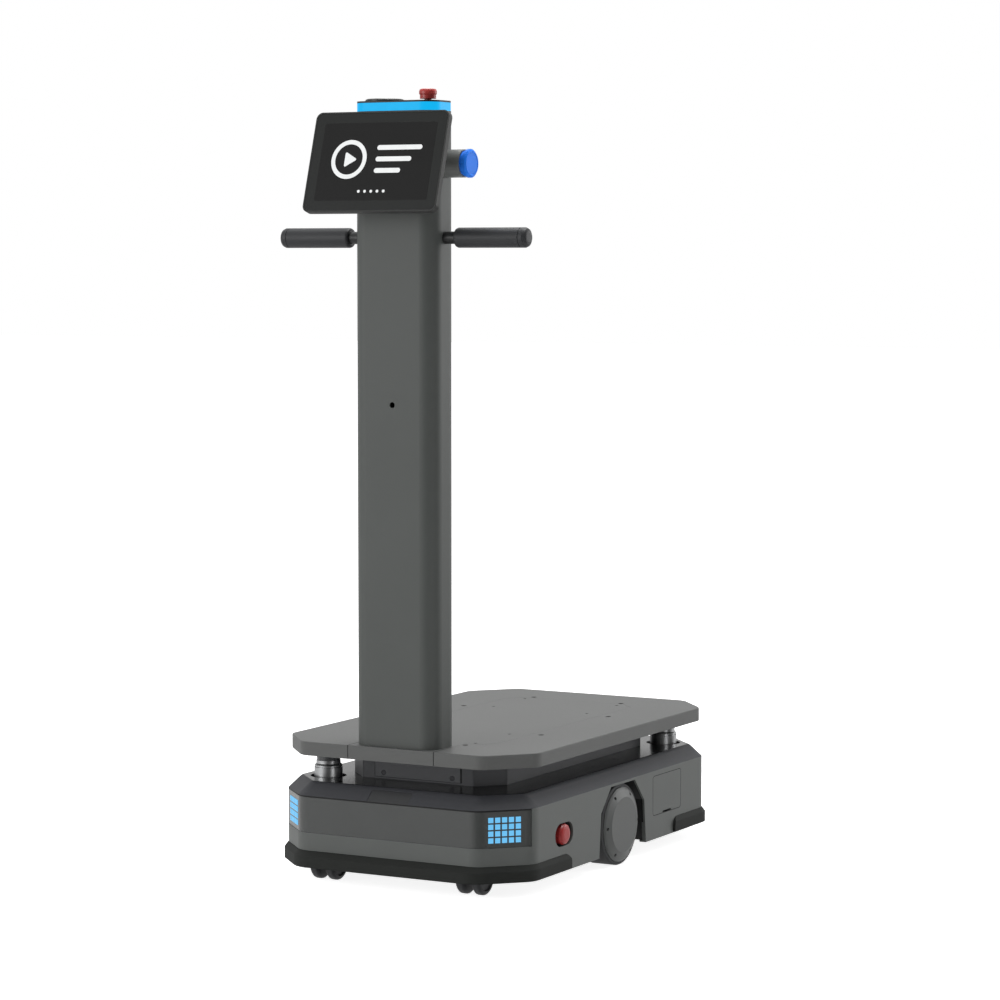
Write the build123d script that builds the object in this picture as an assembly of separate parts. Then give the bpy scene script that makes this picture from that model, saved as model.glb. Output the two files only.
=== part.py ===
from build123d import *
import os
from math import cos, radians, sin, sqrt

# Autonomous mobile robot with a load deck and a mast with push handles. Millimetres, +Z up.
# The robot drives forward along -Y. Left and right are the robot's own, so left is +X.
# Everything is drawn about the point on the floor midway between the drive wheels, and
# each piece is moved at the end so that the origin is the bottom centre of the whole box.

# Overall size: over the bumpers, and up to the knob on top of the mast
base_length = 835.0
base_width = 500.0
overall_height = 1354.0

# Clearances
seat_gap = 0.3
fit_gap = 0.05
pin_gap = 0.1
slide_gap = 0.4
seam_gap = 0.6
deck_seam = 0.5

# Body shell, an octagon in plan with rounded corners
bumper_proud_side = 5.0
bumper_proud_end = 13.5
body_cut = 71.0
body_radius = 38.0
body_wall = 4.0
skirt_bottom = 26.0
sill_top = 62.0
sill_wall = 7.0
ledge_width = 6.0
ledge_height = 3.0
shoulder_z = 150.0
cover_top = 172.5
shoulder_run = 26.0
shoulder_steps = ((0.0, 0.0), (0.77, 0.84), (0.9, 0.95), (1.0, 1.0))

# Belly tray and chassis plate
tray_thickness = 2.0
well_room = 3.0
well_wall = 2.0
well_side_room = 5.0
well_port_radius = 32.0
plate_bottom = 78.0
plate_thickness = 6.0
post_size = 24.0
post_x = 90.0
post_y = 150.0
post_from_side = 55.0
post_from_end = 54.0
keel_from_bay = 14.0
keel_width = 16.0
keel_depth = 30.0

# Bumpers
bumper_bottom = 28.0
bumper_edge_z = 46.5
bumper_top = 55.0
bumper_cut = 77.0
bumper_radius = 50.0
bumper_rebate = 2.0
bumper_end_y = 204.0
bumper_end_radius = 16.0

# Dark window band round the nose, with a matrix of lamps on each corner
window_bottom = 86.0
window_recess = 1.0
window_thickness = 3.0
window_end_gap = 4.0
lamp_columns = 5
lamp_rows = 4
lamp_size = 8.8
lamp_pitch = 12.0
lamp_pitch_z = 11.5
lamp_thickness = 0.8
lamp_field_from_nose = 48.5
lamp_field_z = 116.3

# Sensor window in the front shoulder
sensor_width = 80.0
sensor_margin = 1.5
sensor_corner = 4.0
sensor_depth = 1.8
sensor_thickness = 1.5

# Side service hatches
hatch_length = 116.0
hatch_height = 72.0
hatch_y = 178.0
hatch_z = 105.0
hatch_thickness = 2.0
hatch_corner = 6.0
hatch_slot_length = 34.0
hatch_slot_height = 4.0

# Emergency stops in the side walls
side_stop_y = -224.3
side_stop_z = 90.0
stop_recess_length = 66.0
stop_recess_height = 40.0
stop_cup_wall = 4.0
stop_cup_depth = 24.0
stop_cup_gap = 2.0
stop_cup_room = 8.0
side_stop_radius = 18.0
side_stop_proud = 4.8
side_stop_head = 22.8
side_stop_travel = 5.0
stop_stem_radius = 6.0

# Drive wheels
wheel_radius = 72.5
tyre_depth = 10.0
tyre_width = 48.0
tyre_shoulder = 3.0
wheel_inset = 6.0
rim_thickness = 9.0
web_thickness = 8.0
hub_radius = 22.0
shaft_radius = 10.0
shaft_end_gap = 6.0
hub_boss_gap = 3.0
cover_radius = 66.0
cover_face_radius = 49.0
cover_height = 9.0
cover_wall = 3.0
cover_screw_count = 6
cover_screw_circle = 58.0
cover_screw_radius = 2.7
arch_half_top = 47.0
arch_half_mid = 85.0
arch_half_bottom = 93.0
arch_top_z = 145.7
arch_mid_z = 104.0

# Swinging drive arms with gearmotors
arm_thickness = 12.0
arm_to_wheel = 9.0
arm_pivot_y = 114.0
arm_pivot_z = 58.0
arm_radius = 13.0
arm_pad_y = -118.0
arm_pad_top = 54.0
arm_pad_length = 32.0
arm_pad_height = 9.0
arm_flange_radius = 37.0
pivot_pin_radius = 6.0
lug_width = 22.0
lug_length = 26.0
motor_radius = 34.0
motor_length = 108.0
motor_flange = 8.0
gearbox_length = 26.0
gearbox_radius = 36.0
buffer_radius = 11.0
buffer_waist = 8.0
bay_room = 6.0
bay_half_length = 100.0

# Twin-wheel casters
caster_from_side = 101.0
caster_from_end = 61.0
caster_trail = 15.0
caster_wheel_radius = 27.0
caster_wheel_width = 18.0
caster_wheel_spacing = 31.0
caster_axle_radius = 4.0
caster_web = 10.0
caster_head_radius = 21.0
caster_head_height = 8.0
caster_plate_size = 64.0
caster_plate_thickness = 4.0
caster_boss_height = 4.0
kingpin_radius = 6.0
kingpin_length = 9.0
caster_room = 3.0

# Units inside the closed body
battery_size = (230.0, 170.0, 70.0)
battery_y = 215.0
control_size = (190.0, 120.0, 46.0)
control_y = -190.0

# Two laser scanners, on opposite corners of the body in the gap under the deck
scanner_from_side = 73.6
scanner_from_end = 89.9
scanner_places = ((-1, -1), (1, 1))
scanner_ring_radius = 31.5
scanner_mount_radius = 24.75
scanner_mount_top = 188.0
scanner_flange_radius = 38.0
scanner_flange = 6.0
scanner_wall = 5.0
scanner_floor_z = 144.0
scanner_floor = 10.0
scanner_neck_radius = 22.3
scanner_neck = 1.2
scanner_collar_radius = 24.3
scanner_collar = 2.5
scanner_slope = 3.0
scanner_ring_top = 200.0
scanner_top_radius = 21.3
scanner_top_wall = 3.0
scanner_cap_radius = 20.5
scanner_cap_top = 212.0
scanner_cap_wall = 3.0
rotor_radius = 15.0
rotor_low = 162.0
rotor_high = 207.5
rotor_shaft_radius = 4.0

# Pedestal between the body and the deck
pedestal_half_x = 152.0
pedestal_half_y = 300.0
pedestal_cut = 42.0
pedestal_radius = 5.0
pedestal_wall = 4.0
pedestal_lid = 6.0
panel_half_width = 86.0
panel_inset = 2.0
panel_margin = 3.0
panel_screw_x = 68.0
panel_screw_height = 10.5

# Deck: a bolt-on frame round a centre plate whose tongue carries the mast
deck_half_x = 245.0
deck_half_y = 393.0
deck_cut_x = 68.0
deck_cut_y = 75.0
deck_radius = 30.0
deck_top = 242.0
deck_thickness = 24.0
deck_edge = 1.0
centre_half_x = 132.0
centre_half_y = 284.0
centre_cut = 28.0
tongue_half_x = 84.0
deck_hole_radius = 5.25
deck_holes_outer = (92.0, 297.0)
deck_holes_inner = (150.0, 130.0)
plate_screw_x = 97.0
plate_screw_ys = (148.0, 270.0)
plate_screw_radius = 3.0

# Mast
mast_width = 160.0
mast_depth = 82.0
mast_radius = 28.0
mast_wall = 3.5
mast_front_y = -383.6
mast_port_z = 824.0
mast_port_radius = 5.0
screw_radius = 4.5
screw_height = 3.0
screw_socket = 1.6
screw_sink = 0.4

# Light ring and cap at the mast head
ring_height = 14.0
ring_inset = 0.6
ring_wall = 6.0
cap_thickness = 3.0
cap_plug = 6.0
top_camera_x = -37.0
top_camera_radius = 33.0
top_camera_height = 4.5
top_camera_lens = 9.0
top_stop_x = 47.0
top_stop_radius = 15.0
top_stop_neck = 13.7
top_stop_head = 16.6
top_stop_travel = 3.0
top_stop_stem = 20.0

# Touch screen in front of the mast
screen_width = 257.0
screen_height = 175.0
screen_thickness = 15.0
screen_corner = 12.0
screen_tilt = 17.1
screen_top_gap = 27.4
screen_below_top = 2.0
screen_bezel = 2.5
screen_back_bevel = 4.0
glass_thickness = 2.0
bracket_half_width = 45.0
bracket_half_height = 40.0

# Push handles
handle_below_top = 212.0
handle_neck_radius = 10.5
handle_neck = 23.0
handle_radius = 17.0
handle_end_x = 240.0
handle_dome = 7.0
handle_groove_x = 226.0
handle_groove = 0.8

# Call button on the left side of the mast head
call_below_top = 88.5
call_boss_radius = 23.5
call_boss_end = 118.0
call_cap_radius = 24.0
call_cap_back = 124.0
call_cap_front = 132.0
call_stem_radius = 20.5
call_stem_depth = 14.0
call_travel = 4.0

# Worked out from the sizes above
body_half_x = base_width / 2 - bumper_proud_side
body_half_y = base_length / 2 - bumper_proud_end
plate_top = plate_bottom + plate_thickness
deck_bottom = deck_top - deck_thickness
cap_top = overall_height - top_stop_head - top_stop_travel - slide_gap
cap_bottom = cap_top - cap_thickness
mast_top = cap_bottom - ring_height
screen_top_z = mast_top - screen_below_top
handle_z = mast_top - handle_below_top
call_z = mast_top - call_below_top
mast_y = mast_front_y + mast_depth / 2
wheel_outer_x = body_half_x - wheel_inset
wheel_inner_x = wheel_outer_x - tyre_width
well_inner_x = wheel_inner_x - well_side_room
arm_outer_x = wheel_inner_x - arm_to_wheel
arm_inner_x = arm_outer_x - arm_thickness
bay_inner_x = arm_inner_x - motor_length - bay_room
keel_x = bay_inner_x - keel_from_bay
post_places = ((post_x, body_half_y - post_from_end), (body_half_x - post_from_side, post_y))
rim_radius = wheel_radius - tyre_depth
caster_x = body_half_x - caster_from_side
caster_y = body_half_y - caster_from_end
scanner_x = body_half_x - scanner_from_side
scanner_y = body_half_y - scanner_from_end
caster_sweep = sqrt((caster_trail + caster_wheel_radius) ** 2
                    + (caster_wheel_spacing / 2 + caster_wheel_width / 2) ** 2)
tilt = radians(screen_tilt)
screen_top_y = mast_front_y - screen_top_gap
front_reach = -screen_top_y + screen_height * sin(tilt)
origin_shift = (front_reach - base_length / 2) / 2
far = base_length

standing = (Align.CENTER, Align.CENTER, Align.MIN)

SIDES = (("left", 1), ("right", -1))
CORNERS = (("front_left", 1, -1), ("front_right", -1, -1), ("rear_left", 1, 1), ("rear_right", -1, 1))


def octagon(half_x, half_y, cut_x, cut_y, radius, inset=0.0):
    """Rectangle with cut corners and rounded vertices, drawn in by inset on every side."""
    slant = sqrt(cut_x ** 2 + cut_y ** 2)
    small_y = cut_y - inset * (1 + (cut_y - slant) / cut_x)
    small_x = cut_x - inset * (1 + (cut_x - slant) / cut_y)
    x = half_x - inset
    y = half_y - inset
    points = [(x, y - small_y), (x - small_x, y), (small_x - x, y), (-x, y - small_y),
              (-x, small_y - y), (small_x - x, -y), (x - small_x, -y), (x, small_y - y)]
    face = Polygon(*points, align=None)
    return fillet(face.vertices(), max(radius - inset, 1.5))


def slab(face, low, high):
    """The plan outline as a block from one height to another."""
    return extrude(Pos(0, 0, low) * face, high - low, dir=(0, 0, 1))


def stack(levels):
    """A body whose plan outline changes from level to level, with flat sloping sides."""
    body = None
    for (low_face, low), (high_face, high) in zip(levels, levels[1:]):
        layer = loft([Pos(0, 0, low) * low_face, Pos(0, 0, high) * high_face], ruled=True)
        body = layer if body is None else body + layer
    return body


def turned(points):
    """A body turned about the X axis from its (x, radius) outline."""
    face = make_face(Plane.XY * Polyline(*points, close=True))
    return revolve(face, Axis.X)


def upright(points):
    """A body turned about the Z axis from its (radius, z) outline."""
    face = make_face(Plane.XZ * Polyline(*points, close=True))
    return revolve(face, Axis.Z)


def rod_x(x0, x1, y, z, radius):
    """A cylinder along X between two stations."""
    return Pos(x0, y, z) * Rot(0, 90, 0) * Cylinder(radius, x1 - x0, align=standing)


def rod_z(z0, z1, x, y, radius):
    """An upright cylinder between two heights."""
    return Pos(x, y, z0) * Cylinder(radius, z1 - z0, align=standing)


def box_between(low, high):
    """A block given by its lowest and highest corners."""
    size = [b - a for a, b in zip(low, high)]
    return Pos(*low) * Box(*size, align=(Align.MIN, Align.MIN, Align.MIN))


def side_prism(face_yz, x0, x1):
    """A side-view outline (y, z) given thickness along X."""
    plane = Plane(origin=(x0, 0, 0), x_dir=(0, 1, 0), z_dir=(1, 0, 0))
    return extrude(plane * face_yz, x1 - x0, dir=(1, 0, 0))


def flipped(shape, side):
    """The shape itself on the left, its mirror image on the right."""
    return shape if side > 0 else mirror(shape, about=Plane.YZ)


def both_sides(shape):
    """The shape and its mirror image as two separate solids."""
    return Compound([*shape.solids(), *mirror(shape, about=Plane.YZ).solids()])


def save(name, shape):
    """Write one piece, moved so that the origin is the bottom centre of the whole box."""
    solids = [Pos(0, origin_shift, 0) * solid for solid in shape.solids()]
    piece = solids[0] if len(solids) == 1 else Compound(solids)
    piece.label = name
    export_step(piece, f"parts/{name}.step")


def body_plan(inset=0.0):
    return octagon(body_half_x, body_half_y, body_cut, body_cut, body_radius, inset)


def bumper_ring(inner_inset, grow=0.0):
    """Rubber ring round the whole base, its top edge bevelled back to the body."""
    outer = octagon(base_width / 2, base_length / 2, bumper_cut, bumper_cut, bumper_radius)
    low = bumper_bottom - grow
    high = bumper_top + grow
    ring = stack([(outer, low), (outer, bumper_edge_z), (body_plan(-0.5), high)])
    return ring - slab(body_plan(inner_inset), low - 1, high + 1)


def bumper_zone(end, grow=0.0):
    """The stretch of the ring that one bumper covers, with rounded upper ends."""
    low = bumper_bottom - grow - 1
    high = bumper_top + grow
    length = far - bumper_end_y + grow
    face = Pos(end * (bumper_end_y - grow + length / 2), (low + high) / 2) * Rectangle(length, high - low)
    corner = face.vertices().sort_by_distance((end * (bumper_end_y - grow), high, 0))[0]
    return side_prism(fillet(corner, bumper_end_radius), -far / 2, far / 2)


def bumper(end):
    return bumper_ring(bumper_rebate) & bumper_zone(end)


def nose_wedge(back_off=0.0):
    """Plan area in front of the two window ends, which lie square to the corner faces."""
    reach = window_end_gap / sqrt(2)
    tip = (body_half_x - reach) - (body_half_y - body_cut + reach) - back_off * sqrt(2)
    return Polygon((0, tip), (-far, tip - far), (far, tip - far), align=None)


def arch_face(grow=0.0):
    """Wheel arch outline seen from the side, wider and higher all round by grow."""
    low = skirt_bottom - 10
    half = [(arch_half_bottom + grow, low), (arch_half_mid + grow, arch_mid_z),
            (arch_half_top + grow / 2, arch_top_z + grow)]
    mirrored = [(-y, z) for y, z in reversed(half)]
    return Polygon(*half, *mirrored, align=None)


def body_shell():
    """Moulded skirt: thick sill below, thin wall above, open for the nose window and the wheels."""
    ledge_z = skirt_bottom + ledge_height
    shell = slab(body_plan(), skirt_bottom, shoulder_z)
    shell -= slab(body_plan(sill_wall + ledge_width), skirt_bottom - 1, ledge_z)
    shell -= slab(body_plan(sill_wall), ledge_z, sill_top)
    shell -= slab(body_plan(body_wall), sill_top, shoulder_z + 1)
    shell -= slab(nose_wedge(), window_bottom, shoulder_z + 1)
    for end in (-1, 1):
        shell -= bumper_ring(bumper_rebate + seat_gap, seat_gap) & bumper_zone(end, seat_gap)
    for _, side in SIDES:
        outer = side * (body_half_x + 5)
        inner = side * (body_half_x - 60)
        shell -= side_prism(arch_face(), min(inner, outer), max(inner, outer))
        shell -= flipped(stop_recess(0.0, body_half_x - 30, body_half_x + 5), side)
        shell -= flipped(hatch_panel(0.0), side)
        shell -= flipped(hatch_slot(body_wall + 1), side)
    for _, side, end in CORNERS:
        x, y = side * caster_x, end * caster_y
        shell -= rod_z(skirt_bottom - 1, ledge_z, x, y, caster_sweep + caster_room)
    return shell


def hatch_panel(gap):
    """Flush cover plate, in a pocket of its own thickness."""
    face = RectangleRounded(hatch_length - 2 * gap, hatch_height - 2 * gap, hatch_corner - gap)
    return side_prism(Pos(hatch_y, hatch_z) * face, body_half_x - hatch_thickness, body_half_x)


def hatch_slot(depth):
    """Finger slot at the lower edge of a hatch."""
    low = hatch_z - hatch_height / 2
    half = hatch_slot_length / 2
    return box_between((body_half_x - depth, hatch_y - half, low),
                       (body_half_x + 1, hatch_y + half, low + hatch_slot_height))


def front_window():
    """Dark band let into the nose, standing on the wall below it."""
    outer = slab(body_plan(window_recess), window_bottom, shoulder_z - seat_gap)
    band = outer - slab(body_plan(window_recess + window_thickness), window_bottom, shoulder_z)
    return band & slab(nose_wedge(seat_gap), window_bottom, shoulder_z)


def window_lamps():
    """Square lamps in rows and columns on the two corner faces of the nose window."""
    slant = 1 / sqrt(2)
    x = body_half_x - body_cut + (lamp_field_from_nose - window_recess) * slant
    y = -body_half_y + (lamp_field_from_nose + window_recess) * slant
    plane = Plane(origin=(x, y, lamp_field_z), x_dir=(slant, slant, 0), z_dir=(slant, -slant, 0))
    tiles = []
    for column in range(lamp_columns):
        for row in range(lamp_rows):
            along = (column - (lamp_columns - 1) / 2) * lamp_pitch
            up = (row - (lamp_rows - 1) / 2) * lamp_pitch_z
            tiles.append(extrude(plane * Pos(along, up) * Rectangle(lamp_size, lamp_size), lamp_thickness))
    return both_sides(Compound(tiles))


def cover_levels(wall):
    """Heights and outlines of the shoulder, for its outer or inner skin."""
    rise = cover_top - shoulder_z
    levels = []
    for run, up in shoulder_steps:
        outline = body_plan(wall + run * shoulder_run)
        levels.append((outline, shoulder_z + up * rise - wall * min(up * 4, 1)))
    return levels


def sensor_block(gap, depth, thickness):
    """Plate lying in the front shoulder slope, from below its upper crease down past its lower edge."""
    run = shoulder_steps[1][0] * shoulder_run
    rise = shoulder_steps[1][1] * (cover_top - shoulder_z)
    slope = sqrt(run ** 2 + rise ** 2)
    plane = Plane(origin=(0, run - body_half_y, shoulder_z + rise), x_dir=(1, 0, 0),
                  z_dir=(0, -rise / slope, run / slope))
    height = 2 * (slope - sensor_margin)
    face = RectangleRounded(sensor_width - 2 * gap, height, sensor_corner - gap)
    return extrude(plane * Pos(0, -sensor_margin - gap - height / 2, -depth) * face, thickness)


def top_cover():
    """Body top with sloping shoulders, round openings for the scanners and a sensor recess."""
    cover = stack(cover_levels(0.0)) - stack(cover_levels(body_wall))
    for side, end in scanner_places:
        cover -= rod_z(shoulder_z, cover_top + 1, side * scanner_x, end * scanner_y, scanner_ring_radius)
    return cover - sensor_block(0.0, sensor_depth, 2 * sensor_depth)


def sensor_window():
    """Dark strip let into the shoulder slope, cut off level with the lower edge of the cover."""
    return sensor_block(seat_gap, sensor_depth, sensor_thickness) & stack(cover_levels(0.0))


def wheel_well():
    """Housing round the drive wheel, closed but for a port where the hub passes through."""
    low = skirt_bottom + ledge_height
    outer_x = body_half_x - sill_wall - seat_gap
    well = side_prism(arch_face(well_room + well_wall), well_inner_x - well_wall, outer_x)
    well -= side_prism(arch_face(well_room), well_inner_x, outer_x + 1)
    well -= rod_x(well_inner_x - well_wall - 1, well_inner_x + 1, 0, wheel_radius, well_port_radius)
    return well & box_between((0, -far, low), (far, far, shoulder_z))


def belly_tray():
    """Thin undertray on the shell's ledge with a well round each drive wheel, open at the casters."""
    low = skirt_bottom + ledge_height
    tray = slab(body_plan(sill_wall + seat_gap), low, low + tray_thickness)
    for _, side in SIDES:
        tray -= flipped(side_prism(arch_face(well_room), well_inner_x, body_half_x + 5), side)
        tray += flipped(wheel_well(), side)
    room = caster_sweep + caster_room
    for _, side, end in CORNERS:
        tray -= rod_z(low - 1, low + tray_thickness + 1, side * caster_x, end * caster_y, room)
    return tray


def chassis_frame():
    """Welded plate with keel rails, cover posts, motor bays and lugs for the drive arms."""
    frame = slab(body_plan(body_wall + seat_gap), plate_bottom, plate_top)
    for side in (-1, 1):
        inner = side * bay_inner_x
        outer = side * (body_half_x + 5)
        frame -= box_between((min(inner, outer), -bay_half_length, plate_bottom - 1),
                             (max(inner, outer), bay_half_length, plate_top + 1))
        cup_end = body_half_x - body_wall - stop_cup_depth
        frame -= flipped(stop_recess(stop_cup_wall + stop_cup_gap, cup_end - stop_cup_room, body_half_x), side)
        keel = box_between((keel_x - keel_width / 2, -caster_y, plate_bottom - keel_depth),
                           (keel_x + keel_width / 2, caster_y, plate_bottom))
        lug_outer = arm_inner_x - pin_gap - 1.5
        lug = box_between((lug_outer - lug_width, arm_pivot_y - lug_length / 2, arm_pivot_z - arm_radius),
                          (lug_outer, arm_pivot_y + lug_length / 2, plate_bottom))
        bore_radius = pivot_pin_radius + fit_gap
        bore = rod_x(lug_outer - lug_width - 1, lug_outer + 1, arm_pivot_y, arm_pivot_z, bore_radius)
        frame += flipped(keel, side)
        frame += flipped(lug - bore, side)
        for end in (-1, 1):
            for x, y in post_places:
                half = post_size / 2
                post = box_between((x - half, end * y - half, plate_top),
                                   (x + half, end * y + half, cover_top - body_wall))
                frame += flipped(post, side)
    return frame


def stop_recess(grow, x0, x1):
    """Long round-ended recess of an emergency stop, wider all round by grow."""
    face = SlotOverall(stop_recess_length + 2 * grow, stop_recess_height + 2 * grow)
    return side_prism(Pos(side_stop_y, side_stop_z) * face, x0, x1)


def side_stop_cup():
    """Long well behind the hole in the side wall, with a bore for the stem."""
    back = body_half_x - body_wall
    floor = back - stop_cup_depth + stop_cup_wall
    well = stop_recess(stop_cup_wall, back - stop_cup_depth, back) - stop_recess(0.0, floor, back + 1)
    bore_radius = stop_stem_radius + slide_gap
    return well - rod_x(floor - stop_cup_wall - 1, back + 1, side_stop_y, side_stop_z, bore_radius)


def side_stop_button():
    """Red dome on a stem that slides in the well."""
    face_x = body_half_x + side_stop_proud
    back = face_x - side_stop_head
    r = side_stop_radius
    stem_end = back - stop_cup_wall - side_stop_travel
    outline = [(stem_end, 0), (stem_end, stop_stem_radius), (back, stop_stem_radius), (back, r - 2),
               (back + 2, r), (face_x - 6, r), (face_x - 2.5, r - 1.5), (face_x - 1, r - 4),
               (face_x, r - 9), (face_x, 0)]
    return Pos(0, side_stop_y, side_stop_z) * turned(outline)


def drive_hub():
    """Rim, web and boss with the output shaft that enters the gearbox."""
    web_low = wheel_inner_x + tyre_width / 2 - web_thickness / 2
    web_high = web_low + web_thickness
    shaft_end = arm_inner_x - gearbox_length + shaft_end_gap
    boss = arm_outer_x + hub_boss_gap
    rim_bore = rim_radius - rim_thickness
    outline = [(shaft_end, 0), (shaft_end, shaft_radius), (boss, shaft_radius), (boss, hub_radius),
               (web_low, hub_radius), (web_low, rim_bore), (wheel_inner_x, rim_bore),
               (wheel_inner_x, rim_radius), (wheel_outer_x, rim_radius), (wheel_outer_x, rim_bore),
               (web_high, rim_bore), (web_high, 0)]
    return Pos(0, 0, wheel_radius) * turned(outline)


def drive_tyre():
    inner = rim_radius + fit_gap
    s = tyre_shoulder
    x0 = wheel_inner_x
    x1 = wheel_outer_x
    r = wheel_radius
    outline = [(x0, inner), (x0, r - s), (x0 + s * 0.3, r - s * 0.3), (x0 + s, r), (x1 - s, r),
               (x1 - s * 0.3, r - s * 0.3), (x1, r - s), (x1, inner)]
    return Pos(0, 0, wheel_radius) * turned(outline)


def wheel_cover():
    """Dished cover with a sloping edge, held by screws round the slope."""
    x0 = wheel_outer_x
    x1 = wheel_outer_x + cover_height
    hollow_radius = rim_radius - rim_thickness - 2
    outline = [(x0, hollow_radius), (x0, cover_radius), (x0 + 1.5, cover_radius),
               (x0 + 4, cover_radius - 3.5), (x1 - 1, cover_face_radius + 2.5), (x1, cover_face_radius),
               (x1, 0), (x1 - cover_wall, 0), (x1 - cover_wall, hollow_radius - 5)]
    cover = Pos(0, 0, wheel_radius) * turned(outline)
    for place in cover_screw_places():
        cover -= place * rod_x(x0 - 1, x1 + 1, 0, 0, cover_screw_radius + seat_gap)
    return cover


def cover_screw_places():
    """Positions of the cover screws on their circle."""
    step = 360 / cover_screw_count
    angles = [radians(step * i) for i in range(cover_screw_count)]
    return [Pos(0, cover_screw_circle * cos(a), wheel_radius + cover_screw_circle * sin(a)) for a in angles]


def cover_screws():
    x0 = wheel_outer_x
    head = rod_x(x0, x0 + 3.5, 0, 0, cover_screw_radius) - rod_x(x0 + 2, x0 + 4, 0, 0, cover_screw_radius / 2)
    return Compound([(place * head).solid() for place in cover_screw_places()])


def drive_arm():
    """Swinging plate from the pivot past the wheel axis to the pad under the rubber spring."""
    rear = make_hull((Pos(arm_pivot_y, arm_pivot_z) * Circle(arm_radius)
                      + Pos(0, arm_pivot_z + 6) * Circle(arm_radius + 3)).edges())
    nose_y = arm_pad_top - arm_pad_height / 2
    front = make_hull((Pos(0, arm_pivot_z + 6) * Circle(arm_radius + 3)
                       + Pos(arm_pad_y + arm_pad_length / 2, nose_y) * Circle(arm_pad_height / 2)).edges())
    pad = Pos(arm_pad_y, nose_y) * Rectangle(arm_pad_length, arm_pad_height)
    flange = Pos(0, wheel_radius) * Circle(arm_flange_radius)
    profile = rear + front + pad + flange
    profile -= Pos(arm_pivot_y, arm_pivot_z) * Circle(pivot_pin_radius + pin_gap)
    profile -= Pos(0, wheel_radius) * Circle(shaft_radius + slide_gap)
    return side_prism(profile, arm_inner_x, arm_outer_x)


def drive_motor():
    """Gearmotor along X, its gearbox flange on the arm."""
    back = arm_inner_x - motor_length
    gearbox = arm_inner_x - gearbox_length
    flange = arm_inner_x - motor_flange
    shell_radius = motor_radius - 2
    bore_radius = shaft_radius + pin_gap
    bore_end = gearbox + shaft_end_gap - 2
    outline = [(back, 0), (back, shell_radius - 4), (back + 4, shell_radius), (gearbox, shell_radius),
               (gearbox, motor_radius), (flange, motor_radius), (flange, gearbox_radius),
               (arm_inner_x, gearbox_radius), (arm_inner_x, bore_radius), (bore_end, bore_radius),
               (bore_end, 0)]
    return Pos(0, 0, wheel_radius) * turned(outline)


def arm_pin():
    """Pivot pin of a drive arm, held in the chassis lug."""
    start = arm_inner_x - 1.5 - lug_width
    pin = rod_x(start, arm_outer_x + 3, arm_pivot_y, arm_pivot_z, pivot_pin_radius)
    head = rod_x(arm_outer_x + 0.8, arm_outer_x + 3.8, arm_pivot_y, arm_pivot_z, pivot_pin_radius + 3)
    return pin + head


def arm_buffer():
    """Waisted rubber spring between the arm's pad and the chassis plate."""
    height = plate_bottom - arm_pad_top
    r0 = buffer_radius
    r1 = buffer_waist
    outline = [(0, 0), (r0, 0), (r0, height * 0.12), (r1, height * 0.28), (r0, height * 0.5),
               (r1, height * 0.72), (r0, height * 0.88), (r0, height), (0, height)]
    x = (arm_inner_x + arm_outer_x) / 2
    return Pos(x, arm_pad_y, arm_pad_top) * upright(outline)


def caster_plates():
    """Fixed halves of the casters: plate, swivel boss and kingpin."""
    solids = []
    for _, side, end in CORNERS:
        x, y = side * caster_x, end * caster_y
        half = caster_plate_size / 2
        low = plate_bottom - caster_plate_thickness
        boss_low = low - caster_boss_height
        fixed = box_between((x - half, y - half, low), (x + half, y + half, plate_bottom))
        fixed += rod_z(boss_low, low, x, y, caster_head_radius + 2)
        fixed += rod_z(boss_low - kingpin_length, boss_low, x, y, kingpin_radius)
        solids.append(fixed.solid())
    return Compound(solids)


def caster_axle_y(end):
    """The wheels of every caster stand on the outer side of its swivel axis."""
    return end * (caster_y + caster_trail)


def caster_fork(side, end):
    """Swivel head with a central web between the two wheels, and the axle pin through it."""
    x, y = side * caster_x, end * caster_y
    top = plate_bottom - caster_plate_thickness - caster_boss_height - seat_gap
    axle_y = caster_axle_y(end)
    head = rod_z(top - caster_head_height, top, x, y, caster_head_radius)
    eye = Pos(axle_y, caster_wheel_radius) * Circle(10)
    root = Pos(y, top - caster_head_height) * Circle(14)
    room = Pos((y + axle_y) / 2, top / 2) * Rectangle(3 * caster_wheel_radius, top)
    profile = make_hull((eye + root).edges()) & room
    profile -= Pos(axle_y, caster_wheel_radius) * Circle(caster_axle_radius + fit_gap)
    web = side_prism(profile, x - caster_web / 2, x + caster_web / 2)
    fork = (head + web) - rod_z(top - kingpin_length - 1, top + 1, x, y, kingpin_radius + pin_gap)
    reach = caster_wheel_spacing / 2 + caster_wheel_width / 2
    axle = rod_x(x - reach, x + reach, axle_y, caster_wheel_radius, caster_axle_radius)
    return Compound([fork.solid(), axle.solid()])


def caster_wheels(side, end):
    """Pair of moulded wheels with rounded treads and dished discs."""
    r = caster_wheel_radius
    half = caster_wheel_width / 2
    bore = caster_axle_radius + pin_gap
    outline = [(-half, bore), (-half, r - 7), (-half + 1, r - 3), (-half + 3.5, r - 0.6), (-half + 6, r),
               (half - 6, r), (half - 3.5, r - 0.6), (half - 1, r - 3), (half, r - 7), (half - 3, r - 9),
               (half - 3, 9), (half, 7), (half, bore)]
    wheel = turned(outline)
    solids = []
    for place in (-1, 1):
        turn = wheel if place > 0 else mirror(wheel, about=Plane.YZ)
        x = side * caster_x + place * caster_wheel_spacing / 2
        solids.append((Pos(x, caster_axle_y(end), r) * turn).solid())
    return Compound(solids)


def at_scanners(shape):
    """A turned scanner piece at both of its places."""
    places = [Pos(side * scanner_x, end * scanner_y) for side, end in scanner_places]
    return Compound([(place * shape).solid() for place in places])


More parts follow.
